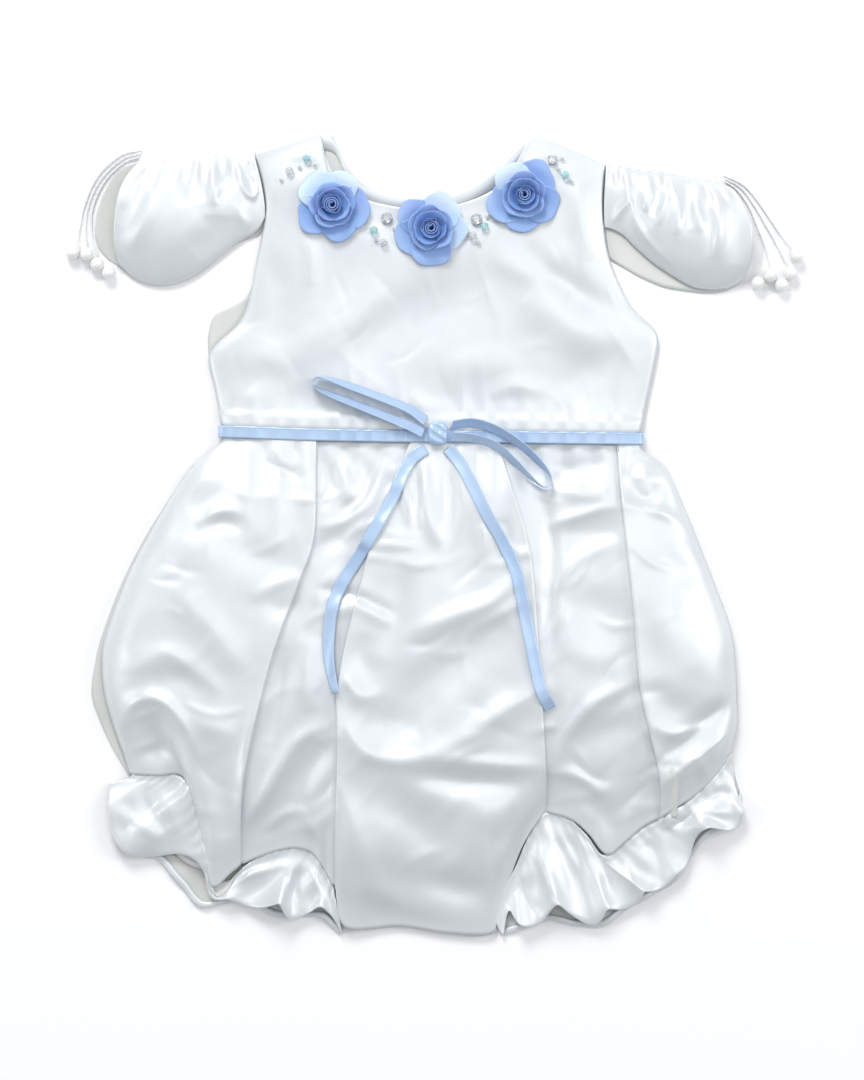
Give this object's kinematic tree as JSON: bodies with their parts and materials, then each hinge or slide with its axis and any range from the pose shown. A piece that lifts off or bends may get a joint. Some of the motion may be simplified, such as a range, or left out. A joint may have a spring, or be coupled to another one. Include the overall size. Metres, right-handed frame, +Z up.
{
  "type": "baby romper",
  "caption": "Satin bubble romper laid flat: puff sleeves, pleated bloomer with leg frills, waist ribbon with a bow, and fabric roses at the neck.",
  "frame": {"origin": "centre of the garment's outline on the surface it lies on, cords left out", "axes": "+Y towards the neck, +X to the right as seen from above, +Z up from the surface"},
  "size_m": [0.3991, 0.4349, 0.0265],
  "materials": {
    "satin": "satin",
    "blue_ribbon": "satin",
    "rose_cloth": "soft",
    "bead": "polished",
    "stone": "polished",
    "pearl": "pearly",
    "string": "satin"
  },
  "bodies": {
    "root": {"bead_1": "bead", "bead_2": "bead", "bead_3": "bead", "bead_4": "bead", "bead_5": "bead", "bead_6": "bead", "bead_7": "bead", "bloomer_back": "satin", "bloomer_front": "satin", "bodice_back": "satin", "bodice_front": "satin", "bow_knot": "blue_ribbon", "bow_loop_left": "blue_ribbon", "bow_loop_right": "blue_ribbon", "frill_back_left": "satin", "frill_back_right": "satin", "frill_front_left": "satin", "frill_front_right": "satin", "pearl_left_1": "pearl", "pearl_left_2": "pearl", "pearl_left_3": "pearl", "pearl_left_4": "pearl", "pearl_right_1": "pearl", "pearl_right_2": "pearl", "pearl_right_3": "pearl", "pearl_right_4": "pearl", "pearl_right_5": "pearl", "ribbon_tail_left": "blue_ribbon", "ribbon_tail_right": "blue_ribbon", "rose_centre": "rose_cloth", "rose_left": "rose_cloth", "rose_right": "rose_cloth", "sleeve_left": "satin", "sleeve_right": "satin", "stone_1": "stone", "stone_2": "stone", "stone_3": "stone", "string_left_1": "string", "string_left_2": "string", "string_left_3": "string", "string_right_1": "string", "string_right_2": "string", "string_right_3": "string", "waist_ribbon": "blue_ribbon"}
  },
  "joints": []
}
